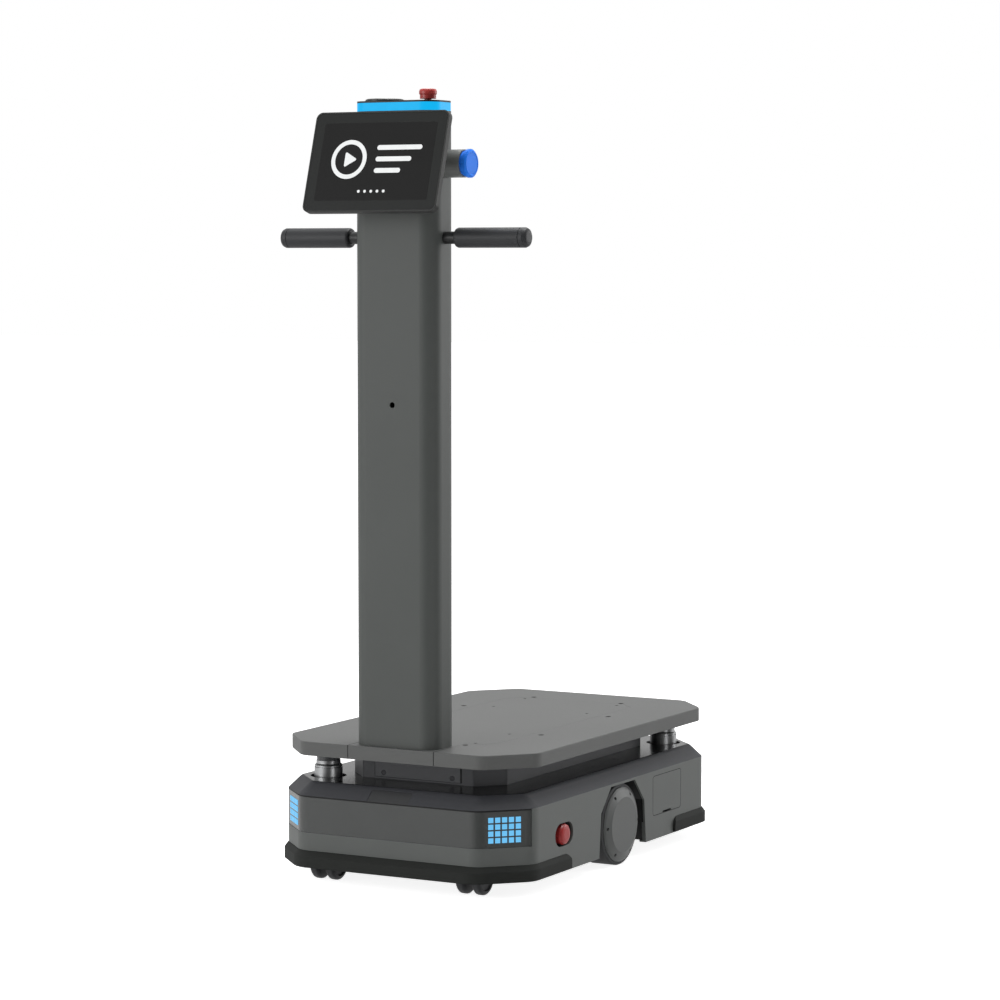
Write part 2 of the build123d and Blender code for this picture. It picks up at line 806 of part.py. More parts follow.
def scanner_mounts():
    """Turned cups on the chassis plate; the floor of each holds the bearing of its rotor."""
    outer = scanner_mount_radius
    inner = outer - scanner_wall
    bore = rotor_shaft_radius + pin_gap
    foot = plate_top + scanner_flange
    neck_top = scanner_mount_top + scanner_neck
    collar_top = neck_top + scanner_collar
    throat = scanner_top_radius - scanner_top_wall
    floor_top = scanner_floor_z + scanner_floor
    return at_scanners(upright([
        (bore, scanner_floor_z), (inner, scanner_floor_z), (inner, plate_top),
        (scanner_flange_radius, plate_top), (scanner_flange_radius, foot), (outer, foot),
        (outer, scanner_mount_top), (scanner_neck_radius, scanner_mount_top), (scanner_neck_radius, neck_top),
        (scanner_collar_radius, neck_top), (scanner_collar_radius, collar_top),
        (scanner_top_radius, collar_top + scanner_slope), (scanner_top_radius, scanner_ring_top),
        (throat, scanner_ring_top), (throat, neck_top), (inner, scanner_mount_top - scanner_neck),
        (inner, floor_top), (bore, floor_top)]))


def scanner_hoods():
    """Dark hollow window caps, one on top of each cup."""
    r = scanner_cap_radius
    room = r - scanner_cap_wall
    lid_low = scanner_cap_top - scanner_cap_wall
    return at_scanners(upright([
        (room, scanner_ring_top), (r, scanner_ring_top), (r, scanner_cap_top - 2), (r - 2, scanner_cap_top),
        (0, scanner_cap_top), (0, lid_low), (room, lid_low)]))


def scanner_rotor(side, end):
    """Spinning head with a slanted mirror face, on a shaft in the floor of the cup."""
    r = rotor_radius
    rotor = upright([(0, scanner_floor_z), (rotor_shaft_radius, scanner_floor_z),
                     (rotor_shaft_radius, rotor_low), (r, rotor_low), (r, rotor_high), (0, rotor_high)])
    slant = Pos(r, 0, rotor_high) * Rot(0, 45, 0) * Box(2 * r, 4 * r, 2 * r)
    return Pos(side * scanner_x, end * scanner_y) * (rotor - slant)


def pedestal():
    """Closed box on the body that carries the deck."""
    def plan(inset):
        return octagon(pedestal_half_x, pedestal_half_y, pedestal_cut, pedestal_cut, pedestal_radius, inset)
    box = slab(plan(0.0), cover_top, deck_bottom)
    box -= slab(plan(pedestal_wall), cover_top - 1, deck_bottom - pedestal_lid)
    return box - pedestal_panel_block(0.0)


def pedestal_panel_block(gap):
    low = cover_top + panel_margin
    high = deck_bottom - panel_margin
    half = panel_half_width
    return box_between((-half + gap, -pedestal_half_y, low + gap),
                       (half - gap, -pedestal_half_y + panel_inset, high - gap))


def pedestal_panel():
    """Access panel let into the front of the pedestal."""
    panel = pedestal_panel_block(seam_gap)
    for x in (-panel_screw_x, panel_screw_x):
        panel -= panel_screw(x, screw_radius + seat_gap, panel_inset)
    return panel


def panel_screw(x, radius, height):
    """A round of the given radius and height on the floor of the panel's pocket."""
    y = -pedestal_half_y + panel_inset
    plane = Plane(origin=(x, y, cover_top + panel_screw_height), x_dir=(1, 0, 0), z_dir=(0, -1, 0))
    return extrude(plane * Circle(radius), height)


def deck_plan(inset=0.0):
    return octagon(deck_half_x, deck_half_y, deck_cut_x, deck_cut_y, deck_radius, inset)


def centre_plan(grow):
    """Plan of the fixed centre plate with its tongue to the front edge."""
    wide = octagon(centre_half_x + grow, centre_half_y + grow, centre_cut, centre_cut, 4.0)
    length = deck_half_y - centre_half_y + 40
    strip = Rectangle(2 * (tongue_half_x + grow), length + grow)
    return wide + Pos(0, -deck_half_y + length / 2 - grow / 2) * strip


def deck_plate():
    """Outer frame of the deck, with threaded holes for what it carries."""
    outline = deck_plan()
    top = stack([(outline, deck_bottom), (outline, deck_top - deck_edge), (deck_plan(deck_edge), deck_top)])
    top -= slab(centre_plan(deck_seam), deck_bottom - 1, deck_top + 1)
    for _, side, end in CORNERS:
        for x, y in (deck_holes_outer, deck_holes_inner):
            top -= rod_z(deck_bottom - 1, deck_top + 1, side * x, end * y, deck_hole_radius)
    return top


def centre_plate():
    """Middle plate on the pedestal; its tongue carries the mast."""
    plate = slab(centre_plan(0.0), deck_bottom, deck_top)
    for side in (-1, 1):
        for end in (-1, 1):
            for y in plate_screw_ys:
                plate -= rod_z(deck_top - screw_height, deck_top + 1, side * plate_screw_x, end * y,
                               plate_screw_radius + seat_gap)
    return plate


def mast_plan(inset=0.0):
    face = RectangleRounded(mast_width - 2 * inset, mast_depth - 2 * inset, mast_radius - inset)
    return Pos(0, mast_y) * face


def mast():
    """Extruded column with an inner hollow and a fixing port in its front face."""
    tube = slab(mast_plan(), deck_top, mast_top) - slab(mast_plan(mast_wall), deck_top - 1, mast_top + 1)
    plane = Plane(origin=(0, mast_front_y, mast_port_z), x_dir=(1, 0, 0), z_dir=(0, -1, 0))
    return tube - extrude(plane * Circle(mast_port_radius), -mast_wall - 1)


def fixed_screws():
    """Screws of the pedestal panel and the centre plate."""
    solids = []
    for x in (-panel_screw_x, panel_screw_x):
        solids.append(panel_screw(x, screw_radius, panel_inset - screw_sink).solid())
    for side in (-1, 1):
        for end in (-1, 1):
            for y in plate_screw_ys:
                x, y_place = side * plate_screw_x, end * y
                head = rod_z(deck_top - screw_height, deck_top - screw_sink, x, y_place, plate_screw_radius)
                head -= rod_z(deck_top - screw_socket, deck_top, x, y_place, plate_screw_radius / 2)
                solids.append(head.solid())
    return Compound(solids)


def light_ring():
    """Translucent ring round the mast head."""
    ring = slab(mast_plan(ring_inset), mast_top, cap_bottom)
    return ring - slab(mast_plan(ring_inset + ring_wall), mast_top - 1, cap_bottom + 1)


def top_cap():
    """Lid with a plug inside the light ring and a bore for the knob's stem."""
    cap = slab(mast_plan(ring_inset), cap_bottom, cap_top)
    cap += slab(mast_plan(ring_inset + ring_wall + seat_gap), cap_bottom - cap_plug, cap_bottom)
    bore_radius = stop_stem_radius + slide_gap
    return cap - rod_z(cap_bottom - cap_plug - 1, cap_top + 1, top_stop_x, mast_y, bore_radius)


def ceiling_camera():
    """Low round housing with a lens well, looking up."""
    r = top_camera_radius
    high = top_camera_height
    lens = top_camera_lens
    outline = [(0, 0), (r, 0), (r, high - 1.5), (r - 3, high), (lens, high), (lens - 2, high - 1.5),
               (0, high - 1.5)]
    return Pos(top_camera_x, mast_y, cap_top) * upright(outline)


def top_stop_button():
    """Red mushroom knob on a stem."""
    top = overall_height
    low = top - top_stop_head
    stem_end = cap_top - top_stop_stem
    r = top_stop_radius
    outline = [(0, stem_end), (stop_stem_radius, stem_end), (stop_stem_radius, low), (top_stop_neck, low),
               (top_stop_neck, low + 6.5), (r, low + 8), (r, top - 4), (r - 1.2, top - 1.2), (r - 4, top),
               (0, top)]
    return Pos(top_stop_x, mast_y) * upright(outline)


def screen_plane(depth):
    """Plane of the tilted screen, the given depth behind its front face."""
    y = screen_top_y - screen_height / 2 * sin(tilt) + depth * cos(tilt)
    z = screen_top_z - screen_height / 2 * cos(tilt) - depth * sin(tilt)
    return Plane(origin=(0, y, z), x_dir=(1, 0, 0), z_dir=(0, -cos(tilt), sin(tilt)))


def screen_face(inset):
    """Outline of the touch screen, drawn in by inset on every side."""
    return RectangleRounded(screen_width - 2 * inset, screen_height - 2 * inset, screen_corner - inset)


def screen_housing():
    """Rear case of the touch screen, with a rebate for the glass."""
    case = slab(screen_face(0.0), 0, screen_thickness)
    case = chamfer(case.faces().sort_by(Axis.Z)[0].edges(), screen_back_bevel)
    case -= slab(screen_face(screen_bezel), screen_thickness - glass_thickness, screen_thickness + 1)
    return screen_plane(screen_thickness).location * case


def screen_glass():
    face = screen_face(screen_bezel + seat_gap)
    return extrude(screen_plane(glass_thickness) * face, glass_thickness - seat_gap)


def screen_bracket():
    """Wedge arm from the mast face to the back of the screen."""
    back = screen_plane(screen_thickness)
    points = []
    for v in (-bracket_half_height, bracket_half_height):
        points.append((back.origin.Y + v * sin(tilt), back.origin.Z + v * cos(tilt)))
    (y0, z0), (y1, z1) = points
    face = Polygon((mast_front_y, z0 + 12), (y0, z0), (y1, z1), (mast_front_y, z1 - 4), align=None)
    return side_prism(face, -bracket_half_width, bracket_half_width)


def handle_stud():
    start = mast_width / 2
    return rod_x(start, start + handle_neck, mast_y, handle_z, handle_neck_radius)


def handle_grip():
    """Grip with a domed end and a fine ring groove near it."""
    x0 = mast_width / 2 + handle_neck
    x1 = handle_end_x
    r = handle_radius
    g = handle_groove_x
    deep = handle_groove
    dome = handle_dome
    outline = [(x0, 0), (x0, r - 4), (x0 + 1.2, r - 1.2), (x0 + 4, r), (g - deep, r), (g - deep, r - deep),
               (g + deep, r - deep), (g + deep, r), (x1 - dome, r), (x1 - dome * 0.4, r - 2),
               (x1 - dome * 0.1, r - 5.5), (x1, r - 9), (x1, 0)]
    return Pos(0, mast_y, handle_z) * turned(outline)


def call_boss():
    """Round boss on the mast side, bored for the call button's stem."""
    boss = rod_x(mast_width / 2 - mast_radius, call_boss_end, mast_y, call_z, call_boss_radius)
    boss -= slab(mast_plan(-fit_gap), call_z - 2 * call_boss_radius, call_z + 2 * call_boss_radius)
    depth = call_stem_depth + call_travel + 2
    bore_radius = call_stem_radius + slide_gap
    return boss - rod_x(call_boss_end - depth, call_boss_end + 1, mast_y, call_z, bore_radius)


def call_button():
    """Blue cap with a bevelled rim on a broad stem."""
    r = call_cap_radius
    back = call_cap_back
    front = call_cap_front
    stem_end = call_boss_end - call_stem_depth
    outline = [(stem_end, 0), (stem_end, call_stem_radius), (back, call_stem_radius), (back, r - 0.8),
               (back + 0.8, r), (front - 2.5, r), (front, r - 3), (front, r - 5), (front - 0.6, r - 6),
               (front - 0.6, 0)]
    return Pos(0, mast_y, call_z) * turned(outline)


def inner_unit(size, y):
    """Closed electronics or battery case standing on the chassis plate."""
    width, length, height = size
    return slab(Pos(0, y) * RectangleRounded(width, length, 8), plate_top, plate_top + height)


def main():
    os.makedirs("parts", exist_ok=True)
    save("chassis_frame", chassis_frame())
    save("body_shell", body_shell())
    save("top_cover", top_cover())
    save("belly_tray", belly_tray())
    save("front_window", front_window())
    save("window_lamps", window_lamps())
    save("sensor_window", sensor_window())
    save("front_bumper", bumper(-1))
    save("rear_bumper", bumper(1))
    save("side_hatches", both_sides(hatch_panel(seam_gap) - hatch_slot(body_wall)))
    save("side_stop_cups", both_sides(side_stop_cup()))
    save("battery_pack", inner_unit(battery_size, battery_y))
    save("control_unit", inner_unit(control_size, control_y))
    save("arm_pins", both_sides(arm_pin()))
    save("caster_plates", caster_plates())
    save("scanner_mounts", scanner_mounts())
    save("scanner_hoods", scanner_hoods())
    save("scanner_rotor_front", scanner_rotor(*scanner_places[0]))
    save("scanner_rotor_rear", scanner_rotor(*scanner_places[1]))
    save("pedestal", pedestal())
    save("pedestal_panel", pedestal_panel())
    save("fixed_screws", fixed_screws())
    save("centre_plate", centre_plate())
    save("deck_plate", deck_plate())
    save("mast", mast())
    save("light_ring", light_ring())
    save("top_cap", top_cap())
    save("ceiling_camera", ceiling_camera())
    save("top_stop_button", top_stop_button())
    save("screen_housing", screen_housing())
    save("screen_glass", screen_glass())
    save("screen_bracket", screen_bracket())
    save("handle_studs", both_sides(handle_stud()))
    save("handle_grips", both_sides(handle_grip()))
    save("call_boss", call_boss())
    save("call_button", call_button())
    for name, side in SIDES:
        save(f"side_stop_button_{name}", flipped(side_stop_button(), side))
        save(f"drive_arm_{name}", flipped(drive_arm(), side))
        save(f"drive_motor_{name}", flipped(drive_motor(), side))
        save(f"arm_buffer_{name}", flipped(arm_buffer(), side))
        save(f"drive_hub_{name}", flipped(drive_hub(), side))
        save(f"drive_tyre_{name}", flipped(drive_tyre(), side))
        save(f"wheel_cover_{name}", flipped(wheel_cover(), side))
        save(f"cover_screws_{name}", flipped(cover_screws(), side))
    for name, side, end in CORNERS:
        save(f"caster_fork_{name}", caster_fork(side, end))
        save(f"caster_wheels_{name}", caster_wheels(side, end))


main()
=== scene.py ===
from math import cos, pi, radians, sin

import bpy
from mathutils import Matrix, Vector


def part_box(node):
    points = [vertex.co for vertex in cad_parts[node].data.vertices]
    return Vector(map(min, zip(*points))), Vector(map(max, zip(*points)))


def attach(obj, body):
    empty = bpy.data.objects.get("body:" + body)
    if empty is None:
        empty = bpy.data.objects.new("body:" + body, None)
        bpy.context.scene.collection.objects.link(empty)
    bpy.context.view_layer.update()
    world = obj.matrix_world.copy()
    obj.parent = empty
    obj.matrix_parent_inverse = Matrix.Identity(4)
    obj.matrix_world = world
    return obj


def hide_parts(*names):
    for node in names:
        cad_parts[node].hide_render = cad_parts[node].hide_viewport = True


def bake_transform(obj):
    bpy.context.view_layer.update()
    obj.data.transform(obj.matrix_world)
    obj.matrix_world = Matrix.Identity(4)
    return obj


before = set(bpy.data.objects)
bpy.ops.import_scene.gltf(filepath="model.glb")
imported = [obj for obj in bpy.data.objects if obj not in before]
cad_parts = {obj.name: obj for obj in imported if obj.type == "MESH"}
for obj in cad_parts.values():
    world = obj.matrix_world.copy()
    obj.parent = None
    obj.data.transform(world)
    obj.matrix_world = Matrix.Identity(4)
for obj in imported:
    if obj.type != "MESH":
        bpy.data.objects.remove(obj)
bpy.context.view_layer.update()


# Camera.
# A long lens looks at the robot's front left corner from a little under mast height.
camera_sensor_mm = 36.0
camera_lens_mm = 118.37
camera_place = (2.81357, -5.12934, 1.07754)
camera_turn_deg = 28.664
camera_pitch_deg = 4.276
camera_data = bpy.data.cameras.new("camera")
camera_data.sensor_width = camera_sensor_mm
camera_data.lens = camera_lens_mm
camera = bpy.data.objects.new("camera", camera_data)
camera.location = camera_place
camera.rotation_euler = (radians(90 - camera_pitch_deg), 0, radians(camera_turn_deg))
bpy.context.scene.collection.objects.link(camera)
bpy.context.scene.camera = camera


# Studio floor and lights.
# A white paper floor takes the robot's shadow under large soft panels. The room is dark towards
# the front left, where one small low panel lights the nose corner and reaches under the deck.
bpy.context.scene.view_settings.view_transform = "Standard"
floor_size = 60.0
floor_glow = 0.86
floor_tone = (0.80, 0.80, 0.80, 1)
room_light = 0.58
mirror_light = 0.8
dark_side = (0.875, -0.485, 0.0)
dark_share = 0.12
dark_edge_cosine = 0.15
dark_core_cosine = 0.8
paper_roughness = 0.9


def fresh_material(name):
    """An empty node material with its shader, ready for textures."""
    material = bpy.data.materials.new(name)
    material.use_nodes = True
    return material, material.node_tree.nodes, material.node_tree.links


def light_panel(name, place, aim, size, power):
    """A soft square lamp facing a point on the robot."""
    panel = bpy.data.lights.new(name, "AREA")
    panel.shape = "SQUARE"
    panel.size = size
    panel.energy = power
    lamp = bpy.data.objects.new(name, panel)
    lamp.location = place
    direction = Vector(aim) - Vector(place)
    lamp.rotation_euler = direction.to_track_quat("-Z", "Y").to_euler()
    bpy.context.scene.collection.objects.link(lamp)


# The room fades towards its dark side. Mirrored rays see it a little brighter than the robot is
# lit, and camera and glass rays see plain white.
world = bpy.data.worlds.new("studio")
bpy.context.scene.world = world
world.use_nodes = True
world_nodes = world.node_tree.nodes
world_links = world.node_tree.links
room = world_nodes["Background"]
room.inputs["Color"].default_value = (1, 1, 1, 1)
way = world_nodes.new("ShaderNodeTexCoord")
facing = world_nodes.new("ShaderNodeVectorMath")
facing.operation = "DOT_PRODUCT"
facing.inputs[1].default_value = dark_side
world_links.new(way.outputs["Generated"], facing.inputs[0])
fade = world_nodes.new("ShaderNodeMapRange")
fade.interpolation_type = "SMOOTHSTEP"
fade.inputs["From Min"].default_value = dark_edge_cosine
fade.inputs["From Max"].default_value = dark_core_cosine
fade.inputs["To Min"].default_value = room_light
fade.inputs["To Max"].default_value = room_light * dark_share
world_links.new(facing.outputs["Value"], fade.inputs["Value"])
seen = world_nodes.new("ShaderNodeBackground")
seen.inputs["Color"].default_value = (1, 1, 1, 1)
seen.inputs["Strength"].default_value = 1.0
path = world_nodes.new("ShaderNodeLightPath")
mirrored = world_nodes.new("ShaderNodeMath")
mirrored.operation = "MULTIPLY_ADD"
mirrored.inputs[1].default_value = mirror_light / room_light - 1
mirrored.inputs[2].default_value = 1.0
world_links.new(path.outputs["Is Glossy Ray"], mirrored.inputs[0])
level = world_nodes.new("ShaderNodeMath")
level.operation = "MULTIPLY"
world_links.new(fade.outputs["Result"], level.inputs[0])
world_links.new(mirrored.outputs["Value"], level.inputs[1])
world_links.new(level.outputs["Value"], room.inputs["Strength"])
straight = world_nodes.new("ShaderNodeMath")
straight.operation = "MAXIMUM"
world_links.new(path.outputs["Is Camera Ray"], straight.inputs[0])
world_links.new(path.outputs["Is Transmission Ray"], straight.inputs[1])
choose = world_nodes.new("ShaderNodeMixShader")
world_links.new(straight.outputs["Value"], choose.inputs["Fac"])
world_links.new(room.outputs["Background"], choose.inputs[1])
world_links.new(seen.outputs["Background"], choose.inputs[2])
world_links.new(choose.outputs["Shader"], world_nodes["World Output"].inputs["Surface"])

bpy.ops.object.select_all(action="DESELECT")
bpy.ops.mesh.primitive_plane_add(size=floor_size, location=(0, 0, 0))
floor = bpy.context.object
floor.name = "studio_floor"
floor.visible_glossy = False
paper, paper_nodes, paper_links = fresh_material("studio_paper")
paper_shader = paper_nodes["Principled BSDF"]
paper_shader.inputs["Base Color"].default_value = floor_tone
paper_shader.inputs["Roughness"].default_value = paper_roughness
paper_shader.inputs["Specular IOR Level"].default_value = 0.0
paper_path = paper_nodes.new("ShaderNodeLightPath")
paper_glow = paper_nodes.new("ShaderNodeMath")
paper_glow.operation = "MULTIPLY"
paper_glow.inputs[1].default_value = floor_glow
paper_links.new(paper_path.outputs["Is Camera Ray"], paper_glow.inputs[0])
paper_shader.inputs["Emission Color"].default_value = (1, 1, 1, 1)
paper_links.new(paper_glow.outputs["Value"], paper_shader.inputs["Emission Strength"])
floor.data.materials.append(paper)

light_panel("top_panel", place=(0.0, 0.6, 3.8), aim=(0, 0, 0.3), size=2.4, power=108)
light_panel("front_right_panel", place=(-2.9, -4.3, 1.6), aim=(0, 0, 0.6), size=2.6, power=84)
light_panel("rear_left_panel", place=(3.0, 4.1, 1.9), aim=(0, 0, 0.5), size=2.6, power=66)
light_panel("corner_panel", place=(2.4, -1.4, 0.35), aim=(0.1, -0.25, 0.2), size=0.7, power=7)


# Powder-coated sheet and castings.
# Dark grey metal with a baked powder coat: a pebbled skin, a slow drift of tone and thin bright
# edges. The cover's shoulders carry painted shade, the body's paint darkened under the deck, and
# the cover's flat top under the deck is smooth and painted nearly black as the deck's shadow.
body_grey = (92, 95, 93)
# Painted shade: the body's paint made darker for the cover's shoulders, which the deck overhangs.
shoulder_shaded_grey = (60, 61, 65)
pedestal_grey = (80, 81, 84)
panel_grey = (92, 93, 96)
deck_grey = (91, 92, 91)
mast_grey = (79, 82, 80)
chassis_grey = (52, 53, 54)
# Painted shade: the near-black of the cover's flat top, which lies in the deck's shadow.
cover_top_shade_black = (18, 19, 20)
cover_top_rough = 0.2
cover_top_margin = 0.0003
drift_scale = 7.0
drift_detail = 4.0
tone_drift = 0.06
speckle_detail = 3.0
gloss_spread = 0.06
pebble_strength = 0.6
pebble_depth = 0.00012
soft_edge = 0.0008
edge_start_cosine = 0.995
edge_full_cosine = 0.86
bevel_samples = 6
# Sockets of a Mix node: two colours and their mix, two numbers and theirs.
colour_a, colour_b, colour_out = 6, 7, 2
number_a, number_b, number_out = 2, 3, 0


def linear(colour):
    """A display colour of 0 to 255 steps as linear light."""
    steps = []
    for value in colour:
        share = value / 255
        steps.append(share / 12.92 if share <= 0.04045 else ((share + 0.055) / 1.055) ** 2.4)
    return (*steps, 1.0)


def tinted(colour, factor):
    """The same linear colour, brighter or darker."""
    return (*[min(part * factor, 1.0) for part in colour[:3]], 1.0)


def object_noise(nodes, links, scale, detail):
    """Noise laid out in the piece's own coordinates."""
    place = nodes.new("ShaderNodeTexCoord")
    noise = nodes.new("ShaderNodeTexNoise")
    noise.inputs["Scale"].default_value = scale
    noise.inputs["Detail"].default_value = detail
    links.new(place.outputs["Object"], noise.inputs["Vector"])
    return noise.outputs["Fac"]


def drifting_tone(nodes, links, amount, low, high):
    """A colour that drifts between two tones with the amount."""
    tone = nodes.new("ShaderNodeMix")
    tone.data_type = "RGBA"
    tone.inputs[colour_a].default_value = low
    tone.inputs[colour_b].default_value = high
    links.new(amount, tone.inputs["Factor"])
    return tone.outputs[colour_out]


def vary_gloss(nodes, links, amount, low, high):
    """Let the shader's roughness run between two values with the amount."""
    gloss = nodes.new("ShaderNodeMapRange")
    gloss.inputs["To Min"].default_value = low
    gloss.inputs["To Max"].default_value = high
    links.new(amount, gloss.inputs["Value"])
    links.new(gloss.outputs["Result"], nodes["Principled BSDF"].inputs["Roughness"])


def soft_normal(nodes, radius):
    """The surface normal with edges rounded by this radius."""
    soft = nodes.new("ShaderNodeBevel")
    soft.samples = bevel_samples
    soft.inputs["Radius"].default_value = radius
    return soft.outputs["Normal"]


def emboss(nodes, links, amount, normal, strength, depth):
    """Raise the surface a little with the amount."""
    relief = nodes.new("ShaderNodeBump")
    relief.inputs["Strength"].default_value = strength
    relief.inputs["Distance"].default_value = depth
    links.new(amount, relief.inputs["Height"])
    links.new(normal, relief.inputs["Normal"])
    links.new(relief.outputs["Normal"], nodes["Principled BSDF"].inputs["Normal"])


def coated(name, colour, rough=0.45, grain=700.0, edge=1.35, sheen=0.35):
    """Paint, plastic or rubber with a pebbled skin, drifting tone and softened bright edges."""
    material, nodes, links = fresh_material(name)
    shader = nodes["Principled BSDF"]
    shader.inputs["Specular IOR Level"].default_value = sheen
    base = linear(colour)
    cloud = object_noise(nodes, links, drift_scale, drift_detail)
    tone = drifting_tone(nodes, links, cloud, tinted(base, 1 - tone_drift), tinted(base, 1 + tone_drift))
    soft = soft_normal(nodes, soft_edge)
    flat = nodes.new("ShaderNodeNewGeometry")
    likeness = nodes.new("ShaderNodeVectorMath")
    likeness.operation = "DOT_PRODUCT"
    links.new(soft, likeness.inputs[0])
    links.new(flat.outputs["Normal"], likeness.inputs[1])
    # Lightens the colour along the edges, where the rounded normal turns away from the flat one.
    edge_lightening = nodes.new("ShaderNodeMapRange")
    edge_lightening.inputs["From Min"].default_value = edge_start_cosine
    edge_lightening.inputs["From Max"].default_value = edge_full_cosine
    links.new(likeness.outputs["Value"], edge_lightening.inputs["Value"])
    rim = nodes.new("ShaderNodeMix")
    rim.data_type = "RGBA"
    links.new(edge_lightening.outputs["Result"], rim.inputs["Factor"])
    links.new(tone, rim.inputs[colour_a])
    rim.inputs[colour_b].default_value = tinted(base, edge)
    links.new(rim.outputs[colour_out], shader.inputs["Base Color"])
    speckle = object_noise(nodes, links, grain, speckle_detail)
    vary_gloss(nodes, links, speckle, rough - gloss_spread, rough + gloss_spread)
    emboss(nodes, links, speckle, soft, pebble_strength, pebble_depth)
    return material


def dress(material, *names):
    """Give CAD nodes their finished surface."""
    for name in names:
        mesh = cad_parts[name].data
        mesh.materials.clear()
        mesh.materials.append(material)


def shaded_and_polished_above(material, height, colour, rough):
    """Paint shade over the part of a coat above this height as another colour, and make it smoother."""
    nodes = material.node_tree.nodes
    links = material.node_tree.links
    shader = nodes["Principled BSDF"]
    place = nodes.new("ShaderNodeTexCoord")
    part = nodes.new("ShaderNodeSeparateXYZ")
    links.new(place.outputs["Object"], part.inputs["Vector"])
    above = nodes.new("ShaderNodeMath")
    above.operation = "GREATER_THAN"
    above.inputs[1].default_value = height
    links.new(part.outputs["Z"], above.inputs[0])
    sheet = nodes.new("ShaderNodeMix")
    sheet.data_type = "RGBA"
    links.new(above.outputs["Value"], sheet.inputs["Factor"])
    links.new(shader.inputs["Base Color"].links[0].from_socket, sheet.inputs[colour_a])
    sheet.inputs[colour_b].default_value = linear(colour)
    links.new(sheet.outputs[colour_out], shader.inputs["Base Color"])
    polish = nodes.new("ShaderNodeMix")
    links.new(above.outputs["Value"], polish.inputs["Factor"])
    links.new(shader.inputs["Roughness"].links[0].from_socket, polish.inputs[number_a])
    polish.inputs[number_b].default_value = rough
    links.new(polish.outputs[number_out], shader.inputs["Roughness"])


dress(coated("body_coat", body_grey), "body_shell", "side_hatches")
shoulder_shaded_coat = coated("shoulder_shaded_coat", shoulder_shaded_grey, rough=0.52, edge=1.0, sheen=0.3)
# The cover's flat top gets painted shade, nearly black for the deck's shadow, and a smoother finish.
cover_low, cover_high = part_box("top_cover")
shaded_and_polished_above(shoulder_shaded_coat, cover_high[2] - cover_top_margin, cover_top_shade_black, cover_top_rough)
dress(shoulder_shaded_coat, "top_cover")
dress(coated("pedestal_coat", pedestal_grey), "pedestal")
dress(coated("panel_coat", panel_grey), "pedestal_panel")
dress(coated("deck_coat", deck_grey, rough=0.5), "deck_plate", "centre_plate")
dress(coated("mast_coat", mast_grey, rough=0.5), "mast")
dress(coated("chassis_coat", chassis_grey, rough=0.55), "chassis_frame", "drive_arm_left", "drive_arm_right")


# Moulded black parts.
# Wells, cap, bracket, camera housing and covers are moulded in black or dark grey
# plastic with a fine spark-eroded texture.
moulded_black = (44, 45, 45)
cover_grey = (90, 92, 91)
grip_grey = (52, 53, 55)
case_grey = (46, 47, 46)
boss_grey = (114, 116, 114)
dress(coated("moulded_black", moulded_black, rough=0.5, grain=1100.0), "belly_tray", "side_stop_cups",
      "battery_pack", "screen_bracket", "top_cap", "scanner_rotor_front", "scanner_rotor_rear")
dress(coated("cover_grey", cover_grey, rough=0.42), "wheel_cover_left", "wheel_cover_right")
dress(coated("grip_grey", grip_grey, rough=0.48, grain=1500.0, sheen=0.3), "handle_grips")
dress(coated("stud_grey", moulded_black, rough=0.4), "handle_studs")
dress(coated("boss_grey", boss_grey, rough=0.4), "call_boss")
dress(coated("camera_black", case_grey, rough=0.35), "ceiling_camera")
dress(coated("screen_case", case_grey, rough=0.55, edge=1.2), "screen_housing")


# Bumpers, tyres and caster wheels.
# The bumpers are soft black rubber strips. The tyres are rubber moulded round the wheel hubs, and
# the caster wheels are smooth grey polyurethane.
bumper_black = (38, 40, 38)
tyre_grey = (62, 63, 64)
caster_grey = (58, 59, 61)
caster_names = ("front_left", "front_right", "rear_left", "rear_right")
dress(coated("bumper_rubber", bumper_black, rough=0.74, grain=900.0, edge=1.1, sheen=0.25),
      "front_bumper", "rear_bumper")
dress(coated("tyre_rubber", tyre_grey, rough=0.68, grain=500.0, edge=1.1),
      "drive_tyre_left", "drive_tyre_right")
dress(coated("caster_rubber", caster_grey, rough=0.5, edge=1.4),
      *[f"caster_wheels_{name}" for name in caster_names])


# Turned and plated metal.
# Scanner cups, pins and screws are turned on a lathe: fine rings run round them and
# stretch their highlights.
aluminium_grey = (184, 185, 186)
steel_grey = (140, 141, 143)
plated_grey = (120, 121, 124)
cast_grey = (120, 121, 122)
screw_grey = (52, 52, 54)
along_z = (30, 30, 3000)
along_x = (3000, 30, 30)
cast_grain = (300, 300, 300)
ring_detail = 5.0
darkest_ring = 0.8
brightest_ring = 1.15
smoother_ring = 0.08
rougher_ring = 0.1
metal_edge = 0.0005
score_strength = 0.35
score_depth = 0.0001


def turned_metal(name, colour, rough, rings):
    """Bare metal with fine lathe rings; rings says how tightly they follow along X, Y and Z."""
    material, nodes, links = fresh_material(name)
    shader = nodes["Principled BSDF"]
    base = linear(colour)
    shader.inputs["Metallic"].default_value = 1.0
    place = nodes.new("ShaderNodeTexCoord")
    squeeze = nodes.new("ShaderNodeMapping")
    squeeze.inputs["Scale"].default_value = rings
    links.new(place.outputs["Object"], squeeze.inputs["Vector"])
    ring = nodes.new("ShaderNodeTexNoise")
    ring.inputs["Scale"].default_value = 1.0
    ring.inputs["Detail"].default_value = ring_detail
    links.new(squeeze.outputs["Vector"], ring.inputs["Vector"])
    score = ring.outputs["Fac"]
    tone = drifting_tone(nodes, links, score, tinted(base, darkest_ring), tinted(base, brightest_ring))
    links.new(tone, shader.inputs["Base Color"])
    vary_gloss(nodes, links, score, rough - smoother_ring, rough + rougher_ring)
    emboss(nodes, links, score, soft_normal(nodes, metal_edge), score_strength, score_depth)
    return material


